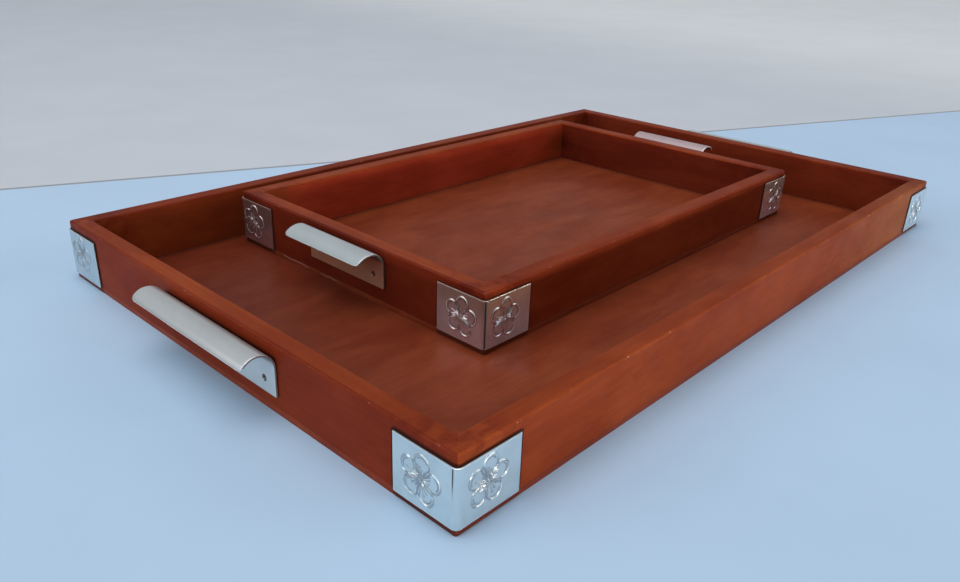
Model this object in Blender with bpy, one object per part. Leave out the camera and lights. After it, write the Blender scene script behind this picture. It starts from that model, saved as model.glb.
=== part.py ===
"""Two wooden serving trays, a small one standing loose on the floor of a large one.

Each tray is a mitred frame of four boards on a thin base panel. Bent metal plates with a
pressed blossom wrap its corners, and a lip handle of bent sheet is screwed to each end.

Lengths are in metres. The origin lies on the table under the middle of the large tray.
+X runs along its long side, +Y across it and +Z up. Each tray is modelled about the middle
of its own underside, and hangs on an empty there.
"""
from dataclasses import dataclass
import math

import bmesh
import bpy
from mathutils import Matrix, Vector

# Large tray, outside sizes of the wood
LARGE_LENGTH = 0.450
LARGE_WIDTH = 0.290
LARGE_HEIGHT = 0.0318

# Small tray, outside sizes of the wood
SMALL_LENGTH = 0.300
SMALL_WIDTH = 0.196
SMALL_HEIGHT = 0.0310

# Where the small tray stands, in shares of the free room on the large tray's floor:
# 0 is the middle, 1 is against the right end or the back
SMALL_ASIDE_SHARE = 0.344
SMALL_BACK_SHARE = 0.716

# Wooden pieces, alike in both trays
BOARD_THICKNESS = 0.009
PANEL_THICKNESS = 0.0025
RIM_ROUNDING = 0.0009
OUTER_CORNER_ROUNDING = 0.0018
INNER_CORNER_ROUNDING = 0.0008

# Gap between pieces that touch
SEAM = 0.0003
# How far a cutter runs past the face that it opens
OVERRUN = 0.001

# Corner plates; they start where the boards do, so that the panel's edge shows under them
PLATE_LEG = 0.030
PLATE_HEIGHT = 0.0245
PLATE_SHEET = 0.0006

# Blossom pressed into each leg of a corner plate
BLOSSOM_MARGIN = 0.0024
BLOSSOM_RELIEF = 0.0004

# Lip handles: sheet, back plate and rolled lip; two of them sit a little towards the front
HANDLE_SHEET = 0.0010
HANDLE_BEND_RADIUS = 0.0085
HANDLE_LIP_ROUNDING = 0.0025
LARGE_HANDLE_LENGTH = 0.088
LARGE_HANDLE_HEIGHT = 0.0215
LARGE_LIP_RADIUS = 0.0083
LARGE_LIP_ANGLE = math.radians(60)
LARGE_LEFT_HANDLE_RISE = 0.0088
LARGE_RIGHT_HANDLE_RISE = 0.0088
LARGE_LEFT_HANDLE_SHIFT = -0.0020
SMALL_HANDLE_LENGTH = 0.060
SMALL_HANDLE_HEIGHT = 0.0207
SMALL_LIP_RADIUS = 0.012
SMALL_LIP_ANGLE = math.radians(48)
SMALL_LEFT_HANDLE_RISE = 0.0105
SMALL_RIGHT_HANDLE_RISE = 0.0122
SMALL_RIGHT_HANDLE_SHIFT = -0.0030

# Handle screws, countersunk and slotted; the cover is the wood left beyond their points
SCREW_HEAD_RADIUS = 0.0017
SCREW_HEAD_HEIGHT = 0.0009
SCREW_SHANK_RADIUS = 0.0009
SCREW_COVER = 0.0028
SCREW_POINT = 0.0015
SCREW_SLOT_WIDTH = 0.0005
SCREW_SLOT_DEPTH = 0.0004
SCREW_INSET = 0.0077
LARGE_SCREW_RISE = 0.0062
SMALL_SCREW_RISE = 0.0063

# Pins that hold the base panel to the boards
PIN_HEAD_RADIUS = 0.0016
PIN_HEAD_HEIGHT = 0.0006
PIN_SHANK_RADIUS = 0.0007
PIN_LENGTH = 0.012
PIN_POINT = 0.001
PIN_SINK = 0.0002
PIN_CORNER_DISTANCE = 0.032
PINS_ALONG_SIDE = 3

# Headless brads that hold the mitres, one for each corner
BRAD_RADIUS = 0.0006
BRAD_LENGTH = 0.018
BRAD_POINT = 0.001
BRAD_SINK = 0.0008

# Facets of round stretches
CORNER_SEGMENTS = 3
RIM_SEGMENTS = 2
BEND_SEGMENTS = 6
LIP_SEGMENTS = 6
SCREW_SIDES = 12
PIN_SIDES = 8
PETAL_SIDES = 8
SMOOTH_ANGLE = math.radians(35)

# Blossom outline, in shares of its radius
PETAL_COUNT = 5
PETAL_CENTRE_SHARE = 0.61
PETAL_LONG_SHARE = 0.38
PETAL_BROAD_SHARE = 0.33
PETAL_TOP_SHARE = 0.66
LEAF_ROOT_SHARE = 0.72
LEAF_WAIST_SHARE = 0.86
LEAF_TIP_SHARE = 1.00
LEAF_HALF_WIDTH_SHARE = 0.055
HEART_SHARE = 0.16

# Finishes: colour, roughness, metallic
WOOD_FINISH = ((0.262, 0.070, 0.038), 0.38, 0.0)
PLATE_FINISH = ((0.80, 0.80, 0.82), 0.12, 1.0)
HANDLE_FINISH = ((0.86, 0.86, 0.87), 0.30, 1.0)
SCREW_FINISH = ((0.10, 0.09, 0.09), 0.40, 1.0)
PIN_FINISH = ((0.45, 0.44, 0.43), 0.45, 1.0)

# Sides of a tray: its two ends along X, and its two long sides along Y
LEFT, RIGHT = -1, 1
FRONT, BACK = -1, 1
END_NAMES = {LEFT: "left", RIGHT: "right"}
SIDE_NAMES = {FRONT: "front", BACK: "back"}


@dataclass
class Handle:
    """Sizes of the handles of one tray.

    Each end has its rise above the tray's underside and its shift along the end board.
    """

    length: float
    height: float
    lip_radius: float
    lip_angle: float
    rises: dict
    shifts: dict
    screw_rise: float

    @property
    def reach(self):
        return SEAM + HANDLE_BEND_RADIUS + self.lip_radius * math.sin(self.lip_angle)


@dataclass
class Tray:
    """Sizes of one tray, and where it stands in the part."""

    name: str
    length: float
    width: float
    height: float
    place: Vector
    handle: Handle

    @property
    def half_length(self):
        return self.length / 2

    @property
    def half_width(self):
        return self.width / 2

    @property
    def board_bottom(self):
        return PANEL_THICKNESS + SEAM


def large_tray():
    """The tray that stands on the table."""
    handle = Handle(
        length=LARGE_HANDLE_LENGTH,
        height=LARGE_HANDLE_HEIGHT,
        lip_radius=LARGE_LIP_RADIUS,
        lip_angle=LARGE_LIP_ANGLE,
        rises={LEFT: LARGE_LEFT_HANDLE_RISE, RIGHT: LARGE_RIGHT_HANDLE_RISE},
        shifts={LEFT: LARGE_LEFT_HANDLE_SHIFT, RIGHT: 0},
        screw_rise=LARGE_SCREW_RISE)
    place = Vector((0, 0, 0))
    return Tray("large", LARGE_LENGTH, LARGE_WIDTH, LARGE_HEIGHT, place, handle)


def small_tray():
    """The tray that stands on the large one's floor."""
    handle = Handle(
        length=SMALL_HANDLE_LENGTH,
        height=SMALL_HANDLE_HEIGHT,
        lip_radius=SMALL_LIP_RADIUS,
        lip_angle=SMALL_LIP_ANGLE,
        rises={LEFT: SMALL_LEFT_HANDLE_RISE, RIGHT: SMALL_RIGHT_HANDLE_RISE},
        shifts={LEFT: 0, RIGHT: SMALL_RIGHT_HANDLE_SHIFT},
        screw_rise=SMALL_SCREW_RISE)
    room_along = LARGE_LENGTH / 2 - BOARD_THICKNESS - (SMALL_LENGTH / 2 + handle.reach)
    room_across = LARGE_WIDTH / 2 - BOARD_THICKNESS - SMALL_WIDTH / 2
    place = Vector((SMALL_ASIDE_SHARE * room_along, SMALL_BACK_SHARE * room_across, PANEL_THICKNESS + SEAM))
    return Tray("small", SMALL_LENGTH, SMALL_WIDTH, SMALL_HEIGHT, place, handle)


# Scene and objects

def clear_scene():
    for old in list(bpy.data.objects):
        bpy.data.objects.remove(old, do_unlink=True)


def make_material(name, finish):
    """One Principled material from its colour, roughness and metallic value."""
    colour, roughness, metallic = finish
    material = bpy.data.materials.new(name)
    material.use_nodes = True
    shader = material.node_tree.nodes["Principled BSDF"]
    shader.inputs["Base Color"].default_value = (*colour, 1.0)
    shader.inputs["Roughness"].default_value = roughness
    shader.inputs["Metallic"].default_value = metallic
    material.diffuse_color = (*colour, 1.0)
    return material


def make_empty(tray):
    """The frame that one tray's pieces hang on."""
    empty = bpy.data.objects.new(f"{tray.name}_tray", None)
    empty.location = tray.place
    bpy.context.collection.objects.link(empty)
    return empty


def make_object(name, bm, parent, finish=None):
    """Turns a bmesh into a named object with its own material; without a finish it is a guide."""
    bmesh.ops.recalc_face_normals(bm, faces=bm.faces[:])
    mesh = bpy.data.meshes.new(name)
    bm.to_mesh(mesh)
    bm.free()
    mesh.shade_smooth()
    mesh.set_sharp_from_angle(angle=SMOOTH_ANGLE)
    piece = bpy.data.objects.new(name, mesh)
    piece.parent = parent
    bpy.context.collection.objects.link(piece)
    if finish:
        mesh.materials.append(make_material(f"{name}_finish", finish))
    else:
        piece.hide_render = True
        piece.display_type = "WIRE"
    return piece


def combine(piece, other, operation):
    """Cuts another object out of a piece, or joins it on, and evens the shading of its flat faces."""
    modifier = piece.modifiers.new(f"{operation.lower()}_{other.name}", "BOOLEAN")
    modifier.operation = operation
    modifier.solver = "EXACT"
    modifier.object = other
    shading = piece.modifiers.new("even_shading", "WEIGHTED_NORMAL")
    shading.keep_sharp = True


# Outlines and plain solids

def arc(centre, radius, start, end, segments):
    """Points of an arc in a plane, both ends included."""
    turns = [start + (end - start) * step / segments for step in range(segments + 1)]
    return [(centre[0] + radius * math.cos(turn), centre[1] + radius * math.sin(turn)) for turn in turns]


def rounded_rectangle(half_x, half_y, radius):
    """Outline of a rectangle with round corners, anticlockwise."""
    points = []
    quarter = math.pi / 2
    for index, (side_x, side_y) in enumerate(((1, 1), (-1, 1), (-1, -1), (1, -1))):
        centre = (side_x * (half_x - radius), side_y * (half_y - radius))
        points += arc(centre, radius, index * quarter, (index + 1) * quarter, CORNER_SEGMENTS)
    return points


def add_loop(bm, points, height):
    """A closed loop of vertices at one height."""
    return [bm.verts.new((x, y, height)) for x, y in points]


def add_band(bm, lower, upper):
    """Joins two loops of as many vertices with a band of faces."""
    for index, vert in enumerate(lower):
        bm.faces.new((vert, lower[index - 1], upper[index - 1], upper[index]))


def add_fan(bm, loop, tip):
    """Closes a loop to a point."""
    for index, vert in enumerate(loop):
        bm.faces.new((vert, loop[index - 1], tip))


def add_turned(bm, profile, sides, place):
    """A closed turned solid; its profile of (distance along, radius) starts and ends on the axis."""
    turns = [2 * math.pi * step / sides for step in range(sides)]
    rings = []
    for along, radius in profile[1:-1]:
        points = [(radius * math.cos(turn), radius * math.sin(turn)) for turn in turns]
        rings.append(add_loop(bm, points, along))
    for lower, upper in zip(rings, rings[1:]):
        add_band(bm, lower, upper)
    tips = [bm.verts.new((0, 0, profile[end][0])) for end in (0, -1)]
    add_fan(bm, rings[0], tips[0])
    add_fan(bm, rings[-1], tips[-1])
    bmesh.ops.transform(bm, matrix=place, verts=tips + [vert for ring in rings for vert in ring])


def pointing(place, direction):
    """Moves a solid that was turned about Z so that it starts at a place and runs in a direction."""
    turn = Vector(direction).to_track_quat("Z", "Y").to_matrix().to_4x4()
    return Matrix.Translation(Vector(place)) @ turn


def add_bent_sheet(bm, back, front, end_insets, length):
    """Bent sheet, from the paired outlines of its two faces; it runs along Z about the middle.

    An end inset draws the sheet's ends in at that point of the outline, which rounds its corners.
    """
    strip = []
    for outline in (back, front):
        strip.append([bm.verts.new((x, y, inset - length / 2)) for (x, y), inset in zip(outline, end_insets)])
    faces = []
    for index in range(len(end_insets) - 1):
        corners = (strip[0][index], strip[0][index + 1], strip[1][index + 1], strip[1][index])
        faces.append(bm.faces.new(corners))
    far_end = bmesh.ops.extrude_face_region(bm, geom=faces)["geom"]
    for vert in far_end:
        if isinstance(vert, bmesh.types.BMVert):
            vert.co.z = -vert.co.z


# Wooden pieces

def base_panel(tray):
    """Thin flat panel under the whole frame."""
    bm = bmesh.new()
    outline = rounded_rectangle(tray.half_length, tray.half_width, OUTER_CORNER_ROUNDING)
    underside = bm.faces.new(add_loop(bm, outline, 0))
    raised = bmesh.ops.extrude_face_region(bm, geom=[underside])["geom"]
    verts = [item for item in raised if isinstance(item, bmesh.types.BMVert)]
    bmesh.ops.translate(bm, verts=verts, vec=(0, 0, PANEL_THICKNESS))
    return bm


def frame_section(tray):
    """Cross-section of the frame's boards, as (distance in from the outside, height)."""
    shoulder = tray.height - RIM_ROUNDING
    inner_centre = (BOARD_THICKNESS - RIM_ROUNDING, shoulder)
    section = [(0, tray.board_bottom)]
    section += arc((RIM_ROUNDING, shoulder), RIM_ROUNDING, math.pi, math.pi / 2, RIM_SEGMENTS)
    section += arc(inner_centre, RIM_ROUNDING, math.pi / 2, 0, RIM_SEGMENTS)
    section.append((BOARD_THICKNESS, tray.board_bottom))
    return section


def frame_ring(tray):
    """The whole frame as one ring, before the mitres cut it."""
    bm = bmesh.new()
    loops = []
    for inwards, height in frame_section(tray):
        radius = max(OUTER_CORNER_ROUNDING - inwards, INNER_CORNER_ROUNDING)
        outline = rounded_rectangle(tray.half_length - inwards, tray.half_width - inwards, radius)
        loops.append(add_loop(bm, outline, height))
    for lower, upper in zip(loops, loops[1:] + loops[:1]):
        add_band(bm, lower, upper)
    return bm


def mitred_board(tray, mitres):
    """One board: the ring, cut at two mitres of (corner's X side, corner's Y side, way out)."""
    bm = frame_ring(tray)
    for side_x, side_y, way_out in mitres:
        corner = Vector((side_x * tray.half_length, side_y * tray.half_width, 0))
        normal = Vector(way_out).normalized()
        everything = bm.verts[:] + bm.edges[:] + bm.faces[:]
        bmesh.ops.bisect_plane(
            bm, geom=everything, plane_co=corner - normal * SEAM / 2, plane_no=normal, clear_outer=True)
    open_edges = [edge for edge in bm.edges if edge.is_boundary]
    bmesh.ops.holes_fill(bm, edges=open_edges, sides=0)
    return bm


def long_board(tray, side_y):
    """Board along a long side, front or back."""
    mitres = [(side_x, side_y, (side_x, -side_y, 0)) for side_x in (LEFT, RIGHT)]
    return mitred_board(tray, mitres)


def end_board(tray, side_x):
    """Board across an end, left or right."""
    mitres = [(side_x, side_y, (-side_x, side_y, 0)) for side_y in (FRONT, BACK)]
    return mitred_board(tray, mitres)


# Fasteners

def screw_profile():
    """Countersunk screw along its axis, head first, as (distance along, radius)."""
    length = HANDLE_SHEET + SEAM + BOARD_THICKNESS - SCREW_COVER
    return [
        (0, 0),
        (0, SCREW_HEAD_RADIUS),
        (SCREW_HEAD_HEIGHT, SCREW_SHANK_RADIUS),
        (length - SCREW_POINT, SCREW_SHANK_RADIUS),
        (length, 0)]


def pin_profile():
    """Flat-headed pin along its axis, head first."""
    return [
        (0, 0),
        (0, PIN_HEAD_RADIUS),
        (PIN_HEAD_HEIGHT, PIN_SHANK_RADIUS),
        (PIN_LENGTH - PIN_POINT, PIN_SHANK_RADIUS),
        (PIN_LENGTH, 0)]


def brad_profile():
    """Headless brad along its axis."""
    return [(0, 0), (0, BRAD_RADIUS), (BRAD_LENGTH - BRAD_POINT, BRAD_RADIUS), (BRAD_LENGTH, 0)]


def hole_profile(profile, sink):
    """The hole that a fastener sits in: its own profile with clearance, open at the head.

    The sink is how deep the head lies under the face that the hole opens in.
    """
    mouth = -(sink + OVERRUN)
    bottom = profile[-1][0] + SEAM
    hole = [(mouth, 0), (mouth, profile[1][1] + SEAM)]
    hole += [(along, radius + SEAM) for along, radius in profile[1:-2]]
    hole += [(bottom, profile[-2][1] + SEAM), (bottom, 0)]
    return hole


def spread(half_span, count):
    """Evenly spaced places from one end of a span to the other."""
    return [half_span * (2 * step / (count - 1) - 1) for step in range(count)]


def pin_places(tray):
    """Panel pins by name: they stand upright under the middle of each board."""
    side_line = tray.half_width - BOARD_THICKNESS / 2
    end_line = tray.half_length - BOARD_THICKNESS / 2
    spots = {f"panel_pin_{name}": (side_x * end_line, 0) for side_x, name in END_NAMES.items()}
    for side_y, name in SIDE_NAMES.items():
        for index, along in enumerate(spread(tray.half_length - PIN_CORNER_DISTANCE, PINS_ALONG_SIDE)):
            spots[f"panel_pin_{name}_{index + 1}"] = (along, side_y * side_line)
    return {name: pointing((x, y, PIN_SINK), (0, 0, 1)) for name, (x, y) in spots.items()}


def brad_places(tray):
    """Brads by name: they run from the end boards across the mitres into the long boards."""
    side_line = tray.half_width - BOARD_THICKNESS / 2
    height = (tray.board_bottom + tray.height) / 2
    places = {}
    for side_x, end_name in END_NAMES.items():
        for side_y, side_name in SIDE_NAMES.items():
            spot = (side_x * (tray.half_length - BRAD_SINK), side_y * side_line, height)
            places[f"corner_brad_{side_name}_{end_name}"] = pointing(spot, (-side_x, 0, 0))
    return places


def screw_places(tray):
    """Handle screws by name: their heads lie flush with the back plates."""
    reach = tray.handle.length / 2 - SCREW_INSET
    places = {}
    for side_x, end_name in END_NAMES.items():
        start = side_x * (tray.half_length + SEAM + HANDLE_SHEET)
        height = tray.handle.rises[side_x] + tray.handle.screw_rise
        for side_y, side_name in SIDE_NAMES.items():
            spot = (start, tray.handle.shifts[side_x] + side_y * reach, height)
            places[f"handle_screw_{side_name}_{end_name}"] = pointing(spot, (-side_x, 0, 0))
    return places


def fastener(profile, sides, place):
    """One turned fastener in its place."""
    bm = bmesh.new()
    add_turned(bm, profile, sides, place)
    return bm


def fastener_holes(tray):
    """Every hole that one tray's fasteners sit in."""
    bm = bmesh.new()
    for place in screw_places(tray).values():
        add_turned(bm, hole_profile(screw_profile(), 0), SCREW_SIDES, place)
    for place in pin_places(tray).values():
        add_turned(bm, hole_profile(pin_profile(), PIN_SINK), PIN_SIDES, place)
    for place in brad_places(tray).values():
        add_turned(bm, hole_profile(brad_profile(), BRAD_SINK), PIN_SIDES, place)
    return bm


def screw_slots(tray):
    """Slots across the heads of a tray's handle screws."""
    bm = bmesh.new()
    size = (SCREW_SLOT_WIDTH, 2 * (SCREW_HEAD_RADIUS + OVERRUN), 2 * SCREW_SLOT_DEPTH)
    for place in screw_places(tray).values():
        bmesh.ops.create_cube(bm, size=1, matrix=place @ Matrix.Diagonal((*size, 1)))
    return bm


# Metal pieces

def corner_place(tray, side_x, side_y):
    """Moves a plate that was drawn round a corner at the origin to one corner of the tray."""
    middle = tray.board_bottom + PLATE_HEIGHT / 2
    corner = Vector((side_x * tray.half_length, side_y * tray.half_width, middle))
    return Matrix.Translation(corner) @ Matrix.Diagonal((-side_x, -side_y, 1, 1))


def plate_outline(distance):
    """Outline of a corner plate's face, at a distance out from the wood."""
    centre = (OUTER_CORNER_ROUNDING, OUTER_CORNER_ROUNDING)
    bend = arc(centre, OUTER_CORNER_ROUNDING + distance, math.pi, math.pi * 3 / 2, CORNER_SEGMENTS)
    return [(-distance, PLATE_LEG), *bend, (PLATE_LEG, -distance)]


def corner_plate(tray, side_x, side_y):
    """Sheet bent round one corner, without its blossoms."""
    bm = bmesh.new()
    back = plate_outline(SEAM)
    front = plate_outline(SEAM + PLATE_SHEET)
    add_bent_sheet(bm, back, front, [0] * len(back), PLATE_HEIGHT)
    bmesh.ops.transform(bm, matrix=corner_place(tray, side_x, side_y), verts=bm.verts[:])
    return bm


def add_boss(bm, outline, top_share, place):
    """A raised shape with sloping sides; its root stands in the sheet. Share 0 gives it a point."""
    centre = [sum(values) / len(outline) for values in zip(*outline)]
    root = add_loop(bm, outline, -PLATE_SHEET / 2)
    bm.faces.new(root)
    if top_share:
        top = [[c + (p - c) * top_share for p, c in zip(point, centre)] for point in outline]
        crown = add_loop(bm, top, BLOSSOM_RELIEF)
        add_band(bm, root, crown)
        bm.faces.new(crown)
    else:
        crown = [bm.verts.new((*centre, BLOSSOM_RELIEF))]
        add_fan(bm, root, crown[0])
    bmesh.ops.transform(bm, matrix=place, verts=root + crown)


def petal_outline(radius):
    """Oval petal along +X from the blossom's heart."""
    points = []
    for step in range(PETAL_SIDES):
        turn = 2 * math.pi * step / PETAL_SIDES
        along = PETAL_CENTRE_SHARE + PETAL_LONG_SHARE * math.cos(turn)
        across = PETAL_BROAD_SHARE * math.sin(turn)
        points.append((radius * along, radius * across))
    return points


def leaf_outline(radius):
    """Slim pointed leaf along +X."""
    waist = radius * LEAF_WAIST_SHARE
    half_width = radius * LEAF_HALF_WIDTH_SHARE
    tip = radius * LEAF_TIP_SHARE
    return [(radius * LEAF_ROOT_SHARE, 0), (waist, -half_width), (tip, 0), (waist, half_width)]


def heart_outline(radius):
    """Round heart of the blossom."""
    return arc((0, 0), radius * HEART_SHARE, 0, 2 * math.pi, PETAL_SIDES)[:-1]


def blossoms(tray, side_x, side_y):
    """Blossoms of one corner plate: petals round a heart, with leaves between their tips.

    One petal points up the plate.
    """
    bm = bmesh.new()
    radius = min(PLATE_LEG, PLATE_HEIGHT) / 2 - BLOSSOM_MARGIN
    face = -(SEAM + PLATE_SHEET)
    on_end = Matrix.Translation((face, PLATE_LEG / 2, 0)) @ Matrix.Rotation(-math.pi / 2, 4, "Y")
    on_side = Matrix.Translation((PLATE_LEG / 2, face, 0)) @ Matrix.Rotation(math.pi / 2, 4, "X")
    on_side @= Matrix.Rotation(math.pi / 2, 4, "Z")
    for leg in (on_end, on_side):
        add_boss(bm, heart_outline(radius), PETAL_TOP_SHARE, leg)
        for step in range(PETAL_COUNT):
            turn = Matrix.Rotation(2 * math.pi * step / PETAL_COUNT, 4, "Z")
            between = Matrix.Rotation(2 * math.pi * (step + 1 / 2) / PETAL_COUNT, 4, "Z")
            add_boss(bm, petal_outline(radius), PETAL_TOP_SHARE, leg @ turn)
            add_boss(bm, leaf_outline(radius), 0, leg @ between)
    bmesh.ops.transform(bm, matrix=corner_place(tray, side_x, side_y), verts=bm.verts[:])
    return bm


def handle_outline(handle, distance):
    """One face of a handle's sheet, as (out from the wood, up); the distance is from its back."""
    bend = HANDLE_BEND_RADIUS
    lip = handle.lip_radius
    out = SEAM + bend
    outline = [(SEAM + distance, 0)]
    outline += arc((out, handle.height - bend), bend - distance, math.pi, math.pi / 2, BEND_SEGMENTS)
    lip_end = math.pi / 2 - handle.lip_angle
    outline += arc((out, handle.height - lip), lip - distance, math.pi / 2, lip_end, LIP_SEGMENTS)[1:]
    return outline


def lip_insets(outline):
    """How far the sheet's ends draw in near the lip's edge, to round its corners."""
    insets = []
    travelled = 0
    for point, previous in zip(reversed(outline), [outline[-1], *reversed(outline)]):
        travelled += math.dist(point, previous)
        left = max(HANDLE_LIP_ROUNDING - travelled, 0)
        insets.append(HANDLE_LIP_ROUNDING - math.sqrt(HANDLE_LIP_ROUNDING ** 2 - left ** 2))
    return insets[::-1]


def lip_handle(tray, side_x):
    """Back plate that rolls out over the fingers into a hanging lip."""
    bm = bmesh.new()
    handle = tray.handle
    back = handle_outline(handle, 0)
    front = handle_outline(handle, HANDLE_SHEET)
    add_bent_sheet(bm, back, front, lip_insets(back), handle.length)
    upright = Matrix.Rotation(math.pi / 2, 4, "X")
    outwards = Matrix.Diagonal((side_x, 1, 1, 1))
    place = Matrix.Translation((side_x * tray.half_length, handle.shifts[side_x], handle.rises[side_x]))
    bmesh.ops.transform(bm, matrix=place @ outwards @ upright, verts=bm.verts[:])
    return bm


# Assembly

def build_tray(tray):
    """All the pieces of one tray."""
    parent = make_empty(tray)
    holes = make_object(f"{tray.name}_fastener_holes", fastener_holes(tray), parent)
    build_wood(tray, parent, holes)
    build_corner_plates(tray, parent)
    build_handles(tray, parent, holes)
    build_fasteners(tray, parent)


def build_wood(tray, parent, holes):
    """Base panel and four boards, with the holes of their fasteners."""
    pieces = {"base_panel": base_panel(tray)}
    for side_y, side_name in SIDE_NAMES.items():
        pieces[f"{side_name}_board"] = long_board(tray, side_y)
    for side_x, end_name in END_NAMES.items():
        pieces[f"{end_name}_board"] = end_board(tray, side_x)
    for name, bm in pieces.items():
        piece = make_object(f"{tray.name}_{name}", bm, parent, WOOD_FINISH)
        combine(piece, holes, "DIFFERENCE")


def build_corner_plates(tray, parent):
    """Four bent plates, each with a blossom on both legs."""
    for side_y, side_name in SIDE_NAMES.items():
        for side_x, end_name in END_NAMES.items():
            corner = f"{side_name}_{end_name}"
            sheet = corner_plate(tray, side_x, side_y)
            plate = make_object(f"{tray.name}_corner_plate_{corner}", sheet, parent, PLATE_FINISH)
            relief = make_object(f"{tray.name}_blossoms_{corner}", blossoms(tray, side_x, side_y), parent)
            combine(plate, relief, "UNION")


def build_handles(tray, parent, holes):
    """A handle on each end."""
    for side_x, end_name in END_NAMES.items():
        sheet = lip_handle(tray, side_x)
        handle = make_object(f"{tray.name}_handle_{end_name}", sheet, parent, HANDLE_FINISH)
        combine(handle, holes, "DIFFERENCE")


def build_fasteners(tray, parent):
    """Handle screws with slotted heads, panel pins and corner brads."""
    slots = make_object(f"{tray.name}_screw_slots", screw_slots(tray), parent)
    for name, place in screw_places(tray).items():
        screw = fastener(screw_profile(), SCREW_SIDES, place)
        screw = make_object(f"{tray.name}_{name}", screw, parent, SCREW_FINISH)
        combine(screw, slots, "DIFFERENCE")
    for name, place in pin_places(tray).items():
        pin = fastener(pin_profile(), PIN_SIDES, place)
        make_object(f"{tray.name}_{name}", pin, parent, PIN_FINISH)
    for name, place in brad_places(tray).items():
        brad = fastener(brad_profile(), PIN_SIDES, place)
        make_object(f"{tray.name}_{name}", brad, parent, PIN_FINISH)


clear_scene()
for each_tray in (large_tray(), small_tray()):
    build_tray(each_tray)
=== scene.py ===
"""Nested wooden serving trays: the finished looks, built round the packed model.

A small stained tray stands in a large one. Mitred boards, thin base panels, bent corner
plates with a pressed blossom, and rolled lip handles held by slotted screws.

Lengths are in metres, in the frame of the packed model: the origin lies on the table under
the middle of the large tray, +X runs along its long side and +Z up.
"""
import math
import random

import bmesh
import bpy
from bpy.props import FloatProperty, FloatVectorProperty, IntProperty, PointerProperty
from bpy.types import Operator, Panel, PropertyGroup
from mathutils import Matrix, Vector, noise


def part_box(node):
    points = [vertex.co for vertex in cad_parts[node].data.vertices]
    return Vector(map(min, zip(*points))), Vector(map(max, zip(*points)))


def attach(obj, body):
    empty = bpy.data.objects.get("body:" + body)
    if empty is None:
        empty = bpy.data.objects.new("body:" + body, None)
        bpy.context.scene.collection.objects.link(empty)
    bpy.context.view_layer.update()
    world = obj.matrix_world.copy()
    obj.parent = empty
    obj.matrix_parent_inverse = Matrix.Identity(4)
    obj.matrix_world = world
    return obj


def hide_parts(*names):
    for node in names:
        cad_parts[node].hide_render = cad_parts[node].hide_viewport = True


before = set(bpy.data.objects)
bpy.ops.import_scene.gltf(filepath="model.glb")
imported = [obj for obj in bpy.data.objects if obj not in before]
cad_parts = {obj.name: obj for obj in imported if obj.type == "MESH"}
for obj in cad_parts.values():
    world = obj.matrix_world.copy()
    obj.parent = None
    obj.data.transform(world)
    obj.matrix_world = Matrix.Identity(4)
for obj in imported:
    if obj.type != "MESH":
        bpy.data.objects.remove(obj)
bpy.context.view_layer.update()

bl_info = {
    "name": "Nested Serving Trays",
    "version": (1, 0, 0),
    "blender": (4, 5, 0),
    "location": "View3D > Sidebar > Trays",
    "description": "Builds a pair of nested wooden serving trays with metal corners and handles",
    "category": "Add Mesh",
}

TRAYS = ("large", "small")

# Sides of a tray: its two ends along X, and its two long sides along Y
ENDS = {"left": -1, "right": 1}
SIDES = {"front": -1, "back": 1}

FULL_TURN = 2 * math.pi
QUARTER_TURN = math.pi / 2
SHARP_ANGLE = math.radians(35)
TOLERANCE = 1e-6


# Settings that a user would change

def length(name, description, default):
    """A length setting in metres."""
    return FloatProperty(name=name, description=description, default=default, unit="LENGTH", precision=5)


def angle(name, description, degrees):
    """An angle setting."""
    return FloatProperty(name=name, description=description, default=math.radians(degrees), subtype="ANGLE")


def quantity(name, description, default):
    """A plain number."""
    return FloatProperty(name=name, description=description, default=default)


def colour(name, description, default):
    """A colour setting."""
    return FloatVectorProperty(
        name=name, description=description, default=default, size=3, min=0, max=1, subtype="COLOR")


class WoodSettings(PropertyGroup):
    """Boards and base panels."""

    corner_rounding: length("Corner rounding", "Radius of a frame's outer corners", 0.0018)
    inner_rounding: length("Inner rounding", "Radius of a frame's inner corners", 0.0008)
    rim_rounding: length("Rim rounding", "Radius of the upper edges of the boards", 0.0010)
    foot_rounding: length("Foot rounding", "Radius of the lower edges of the boards", 0.0001)
    panel_corner: length("Panel corner", "Radius of a base panel's corners", 0.0010)
    panel_edge: length("Panel edge", "Radius of a base panel's edges", 0.0002)
    joint: length("Joint", "Hairline left in a glued joint", 0.00002)
    stain: colour("Stain", "Stained wood where the stain is thin", (0.300, 0.052, 0.014))
    deep_stain: colour("Deep stain", "Stained wood where the stain is thick", (0.190, 0.024, 0.006))
    pore: colour("Pores", "Dark pores and streaks of the grain", (0.075, 0.009, 0.004))
    worn: colour("Worn wood", "Bare specks along worn edges", (0.520, 0.300, 0.200))
    # The next colour serves both for soiling and for painted shade: in the corners, along the plates and
    # behind the handles.
    shade_and_grime: colour("Grime", "Dirt in the corners and along the plates", (0.020, 0.006, 0.004))


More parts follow.
